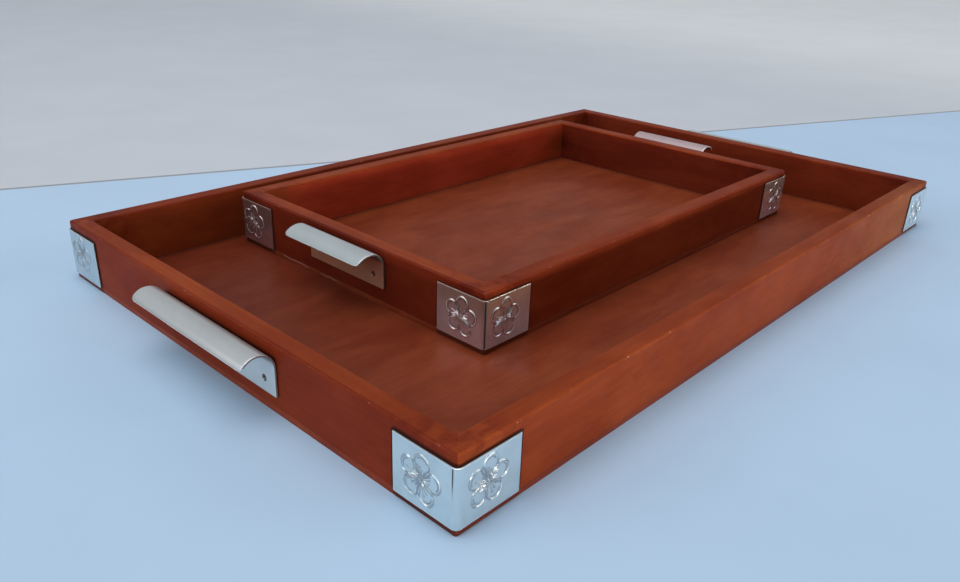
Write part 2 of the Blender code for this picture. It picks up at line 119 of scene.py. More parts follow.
class PlateSettings(PropertyGroup):
    """Corner plates."""

    sheet: length("Sheet", "Thickness of the sheet", 0.0006)
    gap: length("Gap", "Gap between the plate and the wood", 0.0003)
    edge: length("Edge", "Bevel of the sheet's edges", 0.0002)
    cell: length("Cell", "Size of a cell in the plate's mesh", 0.00022)
    blossom: length("Blossom", "Radius of the pressed blossom", 0.0100)
    relief: length("Relief", "How far the blossom's lines stand out", 0.00036)
    dents: length("Dents", "How uneven the sheet is", 0.00004)
    crease: length("Crease", "Depth of the crease beside the bend", 0.00012)
    petals: IntProperty(name="Petals", description="Number of petals", default=5, min=3, max=9)
    tilt: angle("Tilt", "Turn of the first petal from upright", -8)
    # The large plates' cool tint is partly a painted reflection of the pale blue table.
    metal: colour("Metal", "Colour of the large tray's plates", (0.57, 0.68, 0.73))
    # The small plates' leg colours below are painted reflections: one pair for the legs along the sides and
    # one for the end legs, near the top and near the foot.
    side_reflection_top: colour("Film above", "Colour of the small plates' side legs near the top", (0.84, 0.93, 0.84))
    side_reflection_foot: colour("Film below", "Colour of those legs near the foot", (0.68, 0.73, 0.86))
    end_reflection_top: colour("End film above", "Colour of the small plates' end legs near the top", (0.53, 0.43, 0.39))
    end_reflection_foot: colour("End film below", "Colour of those legs near the foot", (0.61, 0.52, 0.56))
    tarnish: colour("Tarnish", "Colour of the dull hollows", (0.13, 0.12, 0.13))
    # The next two colours are partly worn crests and partly painted highlight on the crests and edges.
    polish_and_highlight: colour("Polish", "Colour of the large plates' rubbed crests and edges", (0.88, 0.89, 0.88))
    small_polish: colour("Small polish", "Colour of the small plates' rubbed places", (0.90, 0.72, 0.67))


class HandleSettings(PropertyGroup):
    """Lip handles and their screws."""

    sheet: length("Sheet", "Thickness of the sheet", 0.0010)
    bend: length("Bend", "Outer radius of the bend above the back plate", 0.0085)
    large_lip: length("Large lip", "Outer radius of the large tray's lips", 0.0083)
    large_roll: angle("Large roll", "How far the large tray's lips roll down", 60)
    small_lip: length("Small lip", "Outer radius of the small tray's lips", 0.0120)
    small_roll: angle("Small roll", "How far the small tray's lips roll down", 48)
    lip_corner: length("Lip corner", "Radius of the lip's corners", 0.0025)
    plate_corner: length("Plate corner", "Radius of the back plate's corners", 0.0005)
    edge: length("Edge", "Bevel of the sheet's edges", 0.00022)
    metal: colour("Metal", "Colour of the large tray's lips", (0.50, 0.515, 0.53))
    # The back plates' colours, and the far lip's below, are painted reflections.
    clean: colour("Clean metal", "Colour of the large tray's back plates under the lips", (0.61, 0.65, 0.67))
    small_metal: colour("Small metal", "Colour of the small tray's lips", (0.50, 0.545, 0.57))
    small_clean: colour("Small clean metal", "Colour of the small tray's back plates", (0.54, 0.29, 0.19))
    far_metal: colour("Far metal", "Colour of the small tray's right lip", (0.53, 0.40, 0.42))
    # The bright edge colour is a painted highlight on the rounded edges and the lip's tip.
    bright_edge: colour("Bright edge", "Colour of the sheet's rubbed edges", (0.95, 0.93, 0.92))
    cut: colour("Cut edge", "Colour of the sheet's cut ends", (0.30, 0.31, 0.33))
    screw: colour("Screw", "Colour of the large tray's darkened screws", (0.16, 0.15, 0.14))
    small_screw: colour("Small screw", "Colour of the small tray's stained screws", (0.24, 0.10, 0.07))
    pin: colour("Pin", "Colour of the wire pins", (0.50, 0.48, 0.46))


class StageSettings(PropertyGroup):
    """Table, backdrop, light and camera."""

    table: colour("Table", "Colour of the table", (0.410, 0.530, 0.692))
    backdrop: colour("Backdrop", "Colour of the paper behind the table", (0.490, 0.502, 0.555))
    # The paper's paler right side is painted light.
    bright_backdrop: colour("Bright backdrop", "Colour of that paper at its right", (0.665, 0.668, 0.690))
    camera: FloatVectorProperty(
        name="Camera", description="Place of the camera", default=(-0.3754, -0.2908, 0.1832), unit="LENGTH")
    heading: angle("Heading", "Turn of the camera's view from +Y towards +X", 47.4026)
    pitch: angle("Pitch", "How far the camera looks down", 24.4027)
    roll: angle("Roll", "Roll of the camera", 2.0513)
    lens: quantity("Lens", "Focal length in millimetres", 30.749)
    sky: quantity("Sky", "Strength of the light from overhead and behind", 0.52)
    shade: quantity("Shade", "Strength of the light from the camera's side", 0.23)
    side: quantity("Side", "Strength of the soft light from the left", 1.0)
    strip: quantity("Strip", "Strength of the low light in front", 24.0)
    window: quantity("Windows", "Strength of two small windows at the sides", 1.8)
    lamp: quantity("Lamp", "Power of the large lamp overhead in watts", 9.0)


SETTINGS = {
    "tray_wood": WoodSettings,
    "tray_plates": PlateSettings,
    "tray_handles": HandleSettings,
    "tray_stage": StageSettings,
}


# Places read from the packed model

def middle_of(node):
    """Middle of a node's box."""
    low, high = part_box(node)
    return (low + high) / 2


class TrayPlan:
    """Where the wood of one tray lies."""

    def __init__(self, name):
        self.name = name
        self.low, panel_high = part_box(f"{name}_base_panel")
        board_low, self.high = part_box(f"{name}_back_board")
        front_low, front_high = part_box(f"{name}_front_board")
        self.high.x = panel_high.x
        self.board = front_high.y - front_low.y
        self.board_bottom = board_low.z
        self.centre = (self.low + self.high) / 2
        self.size = self.high - self.low
        self.plate_low, self.plate_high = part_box(f"{name}_corner_plate_front_left")
        self.leg = self.plate_high.x - self.low.x

    def corner(self, end_x, side_y, height=0):
        """One corner of the wood, at a height."""
        half = self.size / 2
        return Vector((self.centre.x + end_x * half.x, self.centre.y + side_y * half.y, height))


# Mesh helpers

def block(low, high):
    """A box between two corners."""
    bm = bmesh.new()
    place = Matrix.Translation((low + high) / 2) @ Matrix.Diagonal((*(high - low), 1))
    bmesh.ops.create_cube(bm, size=1, matrix=place)
    bm.normal_update()
    return bm


def round_edges(bm, edges, radius, segments):
    """Rounds edges with an even bevel."""
    bmesh.ops.bevel(
        bm, geom=edges, offset=radius, offset_type="OFFSET", segments=segments, profile=0.5,
        affect="EDGES", material=-1, loop_slide=False)
    bm.normal_update()


def is_upright(edge):
    """Whether an edge runs along Z."""
    start, end = (vert.co for vert in edge.verts)
    return abs(end.z - start.z) > 0.9 * edge.calc_length()


def cap_edges(bm, height):
    """Edges between a level face at one height and the walls that meet it."""
    found = []
    for edge in bm.edges:
        at_height = all(abs(vert.co.z - height) < TOLERANCE for vert in edge.verts)
        if at_height and len(edge.link_faces) == 2:
            level = [abs(face.normal.z) > 0.9 for face in edge.link_faces]
            if level[0] != level[1]:
                found.append(edge)
    return found


def sheet_grid(length_x, length_y, cell_x, cell_y):
    """A flat grid about the origin, facing +Z, with cells of about one size."""
    bm = bmesh.new()
    bmesh.ops.create_grid(
        bm, x_segments=round(length_x / cell_x), y_segments=round(length_y / cell_y), size=0.5,
        matrix=Matrix.Diagonal((length_x, length_y, 1, 1)))
    return bm


def turned(profile, sides, place):
    """A solid turned about Z from its outline of (height, radius), and then put in its place."""
    bm = bmesh.new()
    verts = [bm.verts.new((radius, 0, height)) for height, radius in profile]
    edges = [bm.edges.new(pair) for pair in zip(verts, verts[1:])]
    bmesh.ops.spin(
        bm, geom=verts + edges, cent=(0, 0, 0), axis=(0, 0, 1), angle=FULL_TURN, steps=sides, use_merge=True)
    bmesh.ops.remove_doubles(bm, verts=bm.verts[:], dist=TOLERANCE)
    bmesh.ops.recalc_face_normals(bm, faces=bm.faces[:])
    bmesh.ops.transform(bm, matrix=place, verts=bm.verts[:])
    return bm


def keep_side(bm, place, way):
    """Cuts off what lies past a plane."""
    everything = bm.verts[:] + bm.edges[:] + bm.faces[:]
    bmesh.ops.bisect_plane(bm, geom=everything, plane_co=place, plane_no=way, clear_outer=True)


def pointing(place, direction):
    """Moves a solid turned about Z so that it starts at a place and runs in a direction."""
    turn = Vector(direction).to_track_quat("Z", "Y").to_matrix().to_4x4()
    return Matrix.Translation(place) @ turn


def new_object(name, bm):
    """A mesh object from a bmesh, shaded smooth apart from its sharp edges."""
    mesh = bpy.data.meshes.new(name)
    bm.to_mesh(mesh)
    bm.free()
    mesh.shade_smooth()
    mesh.set_sharp_from_angle(angle=SHARP_ANGLE)
    piece = bpy.data.objects.new(name, mesh)
    bpy.context.scene.collection.objects.link(piece)
    return piece


def cut(piece, cutter):
    """Cuts another object out of a piece for good."""
    modifier = piece.modifiers.new("cut", "BOOLEAN")
    modifier.operation = "DIFFERENCE"
    modifier.solver = "EXACT"
    modifier.object = cutter
    result = piece.evaluated_get(bpy.context.evaluated_depsgraph_get())
    old, piece.data = piece.data, bpy.data.meshes.new_from_object(result)
    piece.modifiers.clear()
    piece.data.name = old.name
    bpy.data.meshes.remove(old)
    bpy.data.objects.remove(cutter)
    piece.data.set_sharp_from_angle(angle=SHARP_ANGLE)


def dress(piece, node, material):
    """Puts a finished piece in a node's place."""
    piece.data.materials.clear()
    piece.data.materials.append(material)
    shading = piece.modifiers.new("even shading", "WEIGHTED_NORMAL")
    shading.keep_sharp = True
    body = f"{node.split('_')[0]}_tray"
    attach(piece, body)
    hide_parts(node)


# Materials

class NodeTree:
    """Builds the nodes of a material or of the world."""

    def __init__(self, tree):
        self.tree = tree

    def node(self, kind, inputs=None, **options):
        """A node with its options set and its inputs fed."""
        node = self.tree.nodes.new(kind)
        for option, value in options.items():
            setattr(node, option, value)
        for socket, value in (inputs or {}).items():
            self.feed(node.inputs[socket], value)
        return node

    def feed(self, socket, value):
        """Links a socket to an output, or gives it a plain value."""
        if isinstance(value, bpy.types.NodeSocket):
            self.tree.links.new(value, socket)
        elif socket.type == "RGBA" and len(value) == 3:
            socket.default_value = (*value, 1)
        else:
            socket.default_value = value

    def ramp(self, value, low, high, start=0, end=1):
        """Spreads the range from low to high over start to end."""
        inputs = {"Value": value, "From Min": low, "From Max": high, "To Min": start, "To Max": end}
        return self.node("ShaderNodeMapRange", inputs, interpolation_type="SMOOTHSTEP").outputs[0]

    def math(self, operation, *values):
        """One sum on plain values."""
        return self.node("ShaderNodeMath", dict(enumerate(values)), operation=operation).outputs[0]

    def times(self, product, *factors):
        """Plain values multiplied in turn."""
        for factor in factors:
            product = self.math("MULTIPLY", product, factor)
        return product

    def vector(self, operation, inputs, output="Vector"):
        """One sum on vectors."""
        return self.node("ShaderNodeVectorMath", inputs, operation=operation).outputs[output]

    def parts(self, vector):
        """The three parts of a vector, as plain values."""
        return list(self.node("ShaderNodeSeparateXYZ", {"Vector": vector}).outputs)


class Finish(NodeTree):
    """Builds one material's nodes round its main shader."""

    def __init__(self, name, **values):
        self.material = bpy.data.materials.new(name)
        self.material.use_nodes = True
        super().__init__(self.material.node_tree)
        self.set(**values)

    def set(self, **values):
        """Feeds sockets of the main shader, named with a low line for each space."""
        for name, value in values.items():
            self.feed(self.tree.nodes["Principled BSDF"].inputs[name.replace("_", " ")], value)

    def spot(self):
        """The piece's own coordinates."""
        return self.node("ShaderNodeTexCoord").outputs["Object"]

    def noise(self, stretch, shift=(0, 0, 0), detail=3, roughness=0.6, distortion=0):
        """Soft noise from 0 to 1 on the piece's own coordinates, scaled and then moved."""
        place = {"Vector": self.spot(), "Location": shift, "Scale": stretch}
        inputs = {
            "Vector": self.node("ShaderNodeMapping", place).outputs["Vector"], "Scale": 1, "Detail": detail,
            "Roughness": roughness, "Distortion": distortion}
        return self.node("ShaderNodeTexNoise", inputs).outputs[0]

    def mix(self, amount, first, second, blend="MIX"):
        """Mixes two colours."""
        node = self.node("ShaderNodeMix", data_type="RGBA", blend_type=blend)
        for index, value in ((0, amount), (6, first), (7, second)):
            self.feed(node.inputs[index], value)
        return node.outputs[2]

    def tint(self, base, factor):
        """One colour times another."""
        return self.mix(1.0, base, factor, "MULTIPLY")

    def relief(self, *layers):
        """Bumps laid one on another, each as (height, strength, distance)."""
        under = {}
        for height, strength, distance in layers:
            inputs = {"Height": height, "Strength": strength, "Distance": distance, **under}
            under = {"Normal": self.node("ShaderNodeBump", inputs).outputs["Normal"]}
        return under["Normal"]

    def axes(self):
        """The piece's own coordinates as three plain values."""
        return self.parts(self.spot())

    def facing(self):
        """The direction that the surface faces, as three plain values."""
        return self.parts(self.node("ShaderNodeNewGeometry").outputs["Normal"])

    def away(self, value, middle):
        """Distance of a plain value from a middle, either way."""
        return self.math("ABSOLUTE", self.math("SUBTRACT", value, middle))

    def edges(self):
        """Share by which the surface turns from one main direction to the next, as on rounded edges."""
        sizes = [self.math("ABSOLUTE", part) for part in self.facing()]
        largest = self.math("MAXIMUM", self.math("MAXIMUM", sizes[0], sizes[1]), sizes[2])
        return self.ramp(largest, 0.985, 0.80)


def grain(stretch, side):
    """Turns a stretch along the grain, across it and up to the way that a piece's grain runs."""
    along, across, upright = stretch
    return (across, along, upright) if side in ENDS else (along, across, upright)


def beyond(finish, spot, low, high, axis):
    """How far a spot lies past a box along one axis, either way."""
    middle, half = (low[axis] + high[axis]) / 2, (high[axis] - low[axis]) / 2
    return finish.math("SUBTRACT", finish.away(spot[axis], middle), half)


# Height of a handle's bend, which stands off the wood
HANDLE_CROWN = 0.0042


def board_shade_and_grime(finish, tray, side):
    """Painted shade with some soiling on a board's outer face: fine dark lines round the corner plates and
    the handle.
    """
    axis, other = (0, 1) if side in SIDES else (1, 0)
    spot = finish.axes()
    from_middle = finish.away(spot[axis], tray.centre[axis])
    past_leg = finish.math("SUBTRACT", tray.centre[axis] - tray.plate_high[axis], from_middle)
    past_top = finish.math("SUBTRACT", spot[2], tray.plate_high.z)
    # Painted shadow beside and above each corner plate, where the plate stands off the wood.
    beside = finish.times(finish.ramp(past_leg, 0.0019, 0.0013), finish.ramp(past_top, 0.0008, 0.0002))
    reach, strength = (0.0011, 0.55) if tray.name == "small" else (0.0017 if side in ENDS else 0.0014, 0.85)
    above = finish.times(finish.ramp(past_leg, 0.0009, 0.0001), finish.ramp(past_top, reach, reach - 0.0008))
    shade_and_dirt = finish.math("MAXIMUM", beside, above)
    # Painted shadow on the wood behind each handle, up to just under its bend.
    if side in ENDS:
        low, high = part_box(f"{tray.name}_handle_{side}")
        high.z -= HANDLE_CROWN
        aside = finish.ramp(beyond(finish, spot, low, high, 1), 0.0009, -0.0010)
        level = finish.ramp(beyond(finish, spot, low, high, 2), 0.0004, -0.0004, 0, 0.9)
        shade_and_dirt = finish.math("MAXIMUM", shade_and_dirt, finish.times(aside, level))
    half = tray.size[other] / 2
    outside = finish.ramp(finish.away(spot[other], tray.centre[other]), half - 0.004, half - 0.003)
    return finish.times(shade_and_dirt, outside, strength)


def handle_painted_light(finish, tray, side):
    """Share of a painted pool of light on a board: a paler strip just above its handle."""
    low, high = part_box(f"{tray.name}_handle_{side}")
    spot = finish.axes()
    aside = finish.ramp(beyond(finish, spot, low, high, 1), 0.004, -0.006)
    strip = finish.ramp(finish.away(spot[2], high.z - 0.0012), 0.0036, 0.0012)
    half = tray.size.x / 2
    outside = finish.ramp(finish.away(spot[0], tray.centre.x), half - 0.0012, half - 0.0004)
    below_rim = finish.ramp(spot[2], tray.high.z - 0.0010, tray.high.z - 0.0018)
    return finish.times(aside, strip, finish.times(outside, below_rim))


def panel_edge(finish, tray):
    """Distances of a spot from a panel's nearest end and long side, and the share of its outer edge."""
    spot = finish.axes()
    rims = [
        finish.math("SUBTRACT", tray.size[axis] / 2, finish.away(spot[axis], tray.centre[axis]))
        for axis in (0, 1)]
    return rims, finish.ramp(finish.math("MINIMUM", *rims), 0.003, 0.002)


def panel_shade_and_grime(finish, tray, rims, outside):
    """Painted shade with some soiling on a panel, where the floor meets the boards and under the corner
    plates.
    """
    past_board = finish.math("SUBTRACT", finish.math("MINIMUM", *rims), tray.board)
    floor = finish.ramp(past_board, 0.007, -0.001, 0, 0.6)
    strength = finish.ramp(finish.math("SUBTRACT", *rims), 0.001, -0.001, 0.35, 0.62)
    under = finish.times(finish.ramp(finish.math("MAXIMUM", *rims), tray.leg + 0.002, tray.leg), strength)
    return finish.mix(outside, floor, under)


# Traces of glue on the small tray's left panel edge, as middles and half lengths along Y
GLUE_TRACES = ((0.0745, 0.0135), (0.0435, 0.0085))


def glue_line(finish, tray, outside):
    """Two thin, wavy traces of dried glue along the panel's left edge, just under the board."""
    x, y, z = finish.axes()
    wave = finish.ramp(finish.noise((0, 90, 0)), 0.25, 0.75, -0.0006, 0.0006)
    height = finish.math("SUBTRACT", z, tray.board_bottom - 0.0009)
    line = finish.ramp(finish.away(height, wave), 0.00036, 0.00016)
    traces = [finish.ramp(finish.away(y, middle), half, half - 0.003, 0, 0.5) for middle, half in GLUE_TRACES]
    left = finish.times(finish.ramp(x, tray.centre.x, tray.low.x), outside)
    return finish.times(line, finish.math("ADD", *traces), left)


# Painted light and shade on each board: how light it is on its top, its outer face and its inner face
BOARD_PAINTED_LIGHT = {
    "large": {
        "front": (0.84, 0.92, 0.70), "back": (0.66, 0.88, 0.86),
        "left": (0.86, 0.61, 0.70), "right": (0.66, 0.88, 0.55)},
    "small": {
        "front": (0.77, 0.70, 0.68), "back": (0.86, 0.55, 1.25),
        "left": (0.83, 0.47, 0.55), "right": (0.80, 0.50, 0.44)},
}


def board_painted_light_and_stain(finish, tray, side):
    """Painted light and shade on a board's top, outer and inner face, with darker stain blotches near its
    ends.
    """
    top, outer, inner = BOARD_PAINTED_LIGHT[tray.name][side]
    axis, other = (0, 1) if side in SIDES else (1, 0)
    spot = finish.axes()
    half = tray.size[other] / 2
    aside = finish.away(spot[other], tray.centre[other])
    outer = finish.ramp(aside, half - 0.0017, half - 0.0009, 0, top - outer)
    inner = finish.ramp(aside, half - tray.board + 0.0012, half - tray.board + 0.0006, 0, top - inner)
    below_rim = finish.ramp(spot[2], tray.high.z - 0.0009, tray.high.z - 0.0015)
    tone = finish.math("SUBTRACT", top, finish.math("MULTIPLY_ADD", inner, below_rim, outer))
    to_end = finish.math("SUBTRACT", tray.size[axis] / 2, finish.away(spot[axis], tray.centre[axis]))
    blots = finish.ramp(finish.noise((90, 90, 90), (0.4, 0.1, 0.2), distortion=0.6), 0.40, 0.60)
    ends = finish.times(finish.ramp(to_end, 0.040, 0.012, 0, 0.30), blots)
    tone = finish.times(tone, finish.math("SUBTRACT", 1, ends))
    warm = finish.math("MULTIPLY_ADD", tone, 0.80, 0.35)
    red = finish.math("MULTIPLY_ADD", tone, -1.2, 2.2)
    warmth = finish.times(tone, finish.math("MINIMUM", warm, red))
    colour = finish.node("ShaderNodeCombineColor", {0: tone, 1: warmth, 2: tone}).outputs[0]
    if (tray.name, side) != ("large", "front"):
        return colour
    # Painted sheen on the large front board, growing towards its far end.
    outer = finish.ramp(aside, half - 0.0017, half - 0.0009)
    painted_sheen = finish.mix(outer, (0.94, 1.28, 1.45), (1.10, 1.75, 1.70))
    far = finish.ramp(spot[0], 0.03, 0.23)
    return finish.mix(far, colour, finish.tint(colour, painted_sheen))


# Patterns of the wood as (stretch along the grain, across it and up), detail, roughness and distortion
WOOD_PATTERNS = {
    "clouds": ((18, 45, 45), 4, 0.6, 0.4),
    "blots": ((45, 80, 80), 3, 0.6, 0.8),
    "brushed": ((14, 420, 420), 4, 0.65),
    "fibres": ((60, 2200, 2200), 3, 0.6),
    "pores": ((130, 2600, 2600), 2, 0.5),
    "chips": ((420, 700, 700), 3, 0.55),
}
# Layers over the clouds: pattern, colour, the values between which it sets in, and its strength
WOOD_LAYERS = (
    ("blots", "deep_stain", 0.55, 0.78, 0.45),
    ("brushed", "deep_stain", 0.42, 0.75, 0.38),
    ("fibres", "pore", 0.35, 0.75, 0.22),
    ("pores", "pore", 0.66, 0.76, 0.55),
)


def stained_wood(name, tray, side, shift):
    """Red-brown stain under a satin lacquer, with grain along one axis; a panel has no side."""
    wood = bpy.context.scene.tray_wood
    finish = Finish(name, IOR=1.45, Specular_IOR_Level=0.05 if side else 0.14)
    patterns = {
        pattern: finish.noise(grain(stretch, side), shift, *values)
        for pattern, (stretch, *values) in WOOD_PATTERNS.items()}
    stain = finish.mix(finish.ramp(patterns["clouds"], 0.30, 0.70, 0.25, 1.0), wood.deep_stain, wood.stain)
    for pattern, layer, low, high, strength in WOOD_LAYERS:
        cover = finish.ramp(patterns[pattern], low, high, 0, strength)
        stain = finish.mix(cover, stain, getattr(wood, layer))
    chipped = finish.times(finish.edges(), finish.ramp(patterns["chips"], 0.655, 0.70, 0, 0.7))
    stain = finish.mix(chipped, stain, wood.worn)
    if side:
        # Painted light and shade on each face of the board, with stain blotches.
        tone = board_painted_light_and_stain(finish, tray, side)
        shade_and_grime = board_shade_and_grime(finish, tray, side)
        # Painted light on the large tray's end boards, just above the handles.
        if tray.name == "large" and side in ENDS:
            paler = finish.tint(stain, (1.45, 1.35, 1.3))
            stain = finish.mix(handle_painted_light(finish, tray, side), stain, paler)
    else:
        rims, outside = panel_edge(finish, tray)
        # The panels' tones are painted light and shade: the large floor darker towards its back, and the
        # panels' outer edges in a shade of their own.
        floor = (0.72, 0.80, 0.98)
        if tray.name == "large":
            to_back = finish.ramp(finish.axes()[1], -0.14, 0.06)
            floor = finish.mix(to_back, (0.80, 0.90, 1.10), (0.54, 0.53, 0.76))
        tone = finish.mix(outside, floor, (0.66, 0.68, 0.90))
        shade_and_grime = panel_shade_and_grime(finish, tray, rims, outside)
        if tray.name == "small":
            stain = finish.mix(glue_line(finish, tray, outside), stain, wood.worn)
    stain = finish.tint(stain, tone)
    # Painted shade, with some soiling, darkens the stain last.
    finish.set(Base_Color=finish.mix(shade_and_grime, stain, wood.shade_and_grime))
    smears = finish.noise((35, 35, 35), shift)
    finish.set(Roughness=finish.ramp(smears, 0.30, 0.75, 0.40, 0.54))
    finish.set(Normal=finish.relief(
        (patterns["fibres"], 0.25, 0.00012), (patterns["pores"], 0.20, 0.00010),
        (patterns["clouds"], 0.15, 0.0006)))
    return finish.material


# Tints of painted shade on the plates at the back and on the edges that face up, and how metallic they are
PLATE_LOOKS = {
    "large": {"back": (0.76, 0.78, 0.80), "top": (0.62, 0.62, 0.64), "metallic": 0.7},
    "small": {"back": (0.80, 0.62, 0.60), "top": (0.62, 0.36, 0.30), "metallic": 0.84},
}


def bright_plate(tray):
    """Bright-polished thin sheet with a little haze, dull in its hollows; pale on its crests and edges from
    wear and painted highlight, and darkened by painted shade and soiling on its back edges and crease.
    """
    plates = bpy.context.scene.tray_plates
    looks = PLATE_LOOKS[tray.name]
    finish = Finish(f"{tray.name}_plate")
    facing = finish.facing()
    x, y, z = finish.axes()
    metal, polish_and_highlight = plates.metal, plates.polish_and_highlight
    # The small plates take painted reflections, by the way each leg faces and how high it is.
    if tray.name == "small":
        polish_and_highlight = plates.small_polish
        level = finish.ramp(z, tray.plate_low.z + 0.010, tray.plate_high.z - 0.002)
        metal = finish.mix(
            finish.ramp(finish.away(facing[0], 0), 0.4, 0.8),
            finish.mix(level, plates.side_reflection_foot, plates.side_reflection_top),
            finish.mix(level, plates.end_reflection_foot, plates.end_reflection_top))
    # Painted shade on the plates at the back.
    back = finish.ramp(y, tray.centre.y, tray.high.y - 0.02)
    metal = finish.mix(back, metal, finish.tint(metal, looks["back"]))
    haze = finish.noise((90, 90, 90), detail=4)
    fine = finish.noise((1500, 1500, 900))
    marks = finish.node("ShaderNodeAttribute", attribute_name="marks").outputs["Color"]
    dull, wear_and_highlight, shaded_and_dirty = list(finish.node("ShaderNodeSeparateColor", {"Color": marks}).outputs)
    # Painted shade on the edges that face up, tinted warm on the small plates.
    metal = finish.mix(finish.ramp(facing[2], 0.6, 0.95), metal, finish.tint(metal, looks["top"]))
    metal = finish.tint(metal, finish.ramp(haze, 0.35, 0.75, 1, 0.88))
    # Pale crests and edges from wear and painted highlight; tarnish in the dull hollows.
    metal = finish.mix(wear_and_highlight, finish.mix(dull, metal, plates.tarnish), polish_and_highlight)
    clear = finish.math("SUBTRACT", 1, shaded_and_dirty)
    finish.set(
        # Painted shade and soiling on the back edges and in the crease.
        Base_Color=finish.mix(shaded_and_dirty, metal, bpy.context.scene.tray_wood.shade_and_grime),
        Metallic=finish.times(finish.ramp(wear_and_highlight, 0, 1, looks["metallic"], 0.5), clear),
        Specular_IOR_Level=finish.times(clear, 0.5),
        Roughness=finish.math("ADD", finish.ramp(haze, 0.30, 0.80, 0.10, 0.16), finish.times(dull, 0.12)),
        Normal=finish.relief((fine, 0.05, 0.00003), (haze, 0.08, 0.0003)))
    return finish.material


def satin_sheet(name, end):
    """Satin sheet of one handle, drawn lengthwise, with painted highlights along its edges.

    The lip takes painted shade where it turns away from the sky, and the back plate that it shelters a
    painted reflection in a colour of its own.
    """
    handles = bpy.context.scene.tray_handles
    lip, clean = {
        "large": (handles.metal, handles.clean), "small": (handles.small_metal, handles.small_clean)}[name]
    # The small tray's right lip takes a painted reflection in a colour of its own.
    if (name, end) == ("small", "right"):
        lip = handles.far_metal
    low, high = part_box(f"{name}_handle_{end}")
    finish = Finish(f"{name}_{end}_satin_sheet", Metallic=0.7)
    drawn = finish.noise((2400, 40, 2400))
    smears = finish.noise((60, 35, 60), detail=4)
    facing = finish.facing()
    # Painted shade on the lip as it turns away from the sky, then the back plate's painted reflection.
    metal = finish.tint(lip, finish.ramp(facing[2], 0.95, 0.50, 1, 0.50))
    metal = finish.mix(finish.ramp(finish.away(facing[0], 0), 0.90, 0.97), metal, clean)
    metal = finish.tint(metal, finish.ramp(smears, 0.35, 0.75, 1, 0.86))
    turned_aside = finish.away(facing[1], 0)
    metal = finish.mix(finish.ramp(turned_aside, 0.85, 0.97), metal, handles.cut)
    # Painted highlight along the rounded edges and at the lip's tip.
    wear_and_highlight = finish.times(finish.ramp(turned_aside, 0.15, 0.5), finish.ramp(turned_aside, 0.95, 0.85))
    tip = finish.ramp(beyond(finish, finish.axes(), low, high, 0), -0.00015, -0.00003)
    finish.set(Base_Color=finish.mix(finish.math("MAXIMUM", wear_and_highlight, tip), metal, handles.bright_edge))
    lines = finish.times(finish.ramp(drawn, 0.4, 0.8), 0.08)
    finish.set(Roughness=finish.math("ADD", finish.ramp(smears, 0.3, 0.8, 0.28, 0.38), lines))
    finish.set(Normal=finish.relief((drawn, 0.05, 0.00005), (smears, 0.08, 0.0004)))
    return finish.material


def dark_steel(name, tint, roughness):
    """Plain steel with a darkened, slightly rusty skin."""
    finish = Finish(name, Metallic=1.0)
    skin = finish.noise((1100, 1100, 1100), detail=4, roughness=0.65)
    rust = finish.noise((600, 600, 600), (0.3, 0.1, 0.2))
    deep = tuple(part * 0.55 for part in tint)
    steel = finish.mix(finish.ramp(skin, 0.3, 0.75), tint, deep)
    finish.set(Base_Color=finish.mix(finish.ramp(rust, 0.58, 0.75, 0, 0.5), steel, (0.16, 0.07, 0.035)))
    finish.set(Roughness=finish.ramp(skin, 0.3, 0.8, roughness, roughness + 0.2))
    finish.set(Normal=finish.relief((skin, 0.3, 0.00006)))
    return finish.material


# Wooden pieces

def base_panel(tray):
    """Thin panel under a tray's whole frame, with softened corners and edges."""
    wood = bpy.context.scene.tray_wood
    top = tray.board_bottom - wood.joint
    bm = block(tray.low, Vector((tray.high.x, tray.high.y, top)))
    round_edges(bm, [edge for edge in bm.edges if is_upright(edge)], wood.panel_corner, 6)
    round_edges(bm, cap_edges(bm, top) + cap_edges(bm, tray.low.z), wood.panel_edge, 3)
    return bm


def frame_ring(tray):
    """A tray's four boards as one ring, before the mitres part them."""
    wood = bpy.context.scene.tray_wood
    bm = block(Vector((tray.low.x, tray.low.y, tray.board_bottom)), tray.high)
    caps = [face for face in bm.faces if abs(face.normal.z) > 0.9]
    bmesh.ops.inset_region(bm, faces=caps, thickness=tray.board, use_even_offset=True)
    inner = list({edge for face in caps for edge in face.edges})
    bmesh.ops.delete(bm, geom=caps, context="FACES_ONLY")
    bmesh.ops.bridge_loops(bm, edges=inner)
    bmesh.ops.recalc_face_normals(bm, faces=bm.faces[:])
    limit = tray.size.x / 2 - tray.board / 2
    upright = [edge for edge in bm.edges if is_upright(edge)]
    outer = [edge for edge in upright if abs(edge.verts[0].co.x - tray.centre.x) > limit]
    inner = [edge for edge in upright if edge not in outer]
    round_edges(bm, outer, wood.corner_rounding, 8)
    round_edges(bm, inner, wood.inner_rounding, 4)
    round_edges(bm, cap_edges(bm, tray.high.z), wood.rim_rounding, 6)
    round_edges(bm, cap_edges(bm, tray.board_bottom), wood.foot_rounding, 2)
    return bm


def mitred_board(tray, side):
    """One board of the ring, cut free at its two mitres and closed."""
    wood = bpy.context.scene.tray_wood
    bm = frame_ring(tray)
    for corner_x in ENDS.values():
        for corner_y in SIDES.values():
            if ENDS.get(side, corner_x) != corner_x or SIDES.get(side, corner_y) != corner_y:
                continue
            way = Vector((corner_x, -corner_y, 0)) if side in SIDES else Vector((-corner_x, corner_y, 0))
            way.normalize()
            keep_side(bm, tray.corner(corner_x, corner_y) - way * wood.joint / 2, way)
    open_edges = [edge for edge in bm.edges if edge.is_boundary]
    bmesh.ops.holes_fill(bm, edges=open_edges, sides=0)
    bm.normal_update()
    return bm


# Corner plates

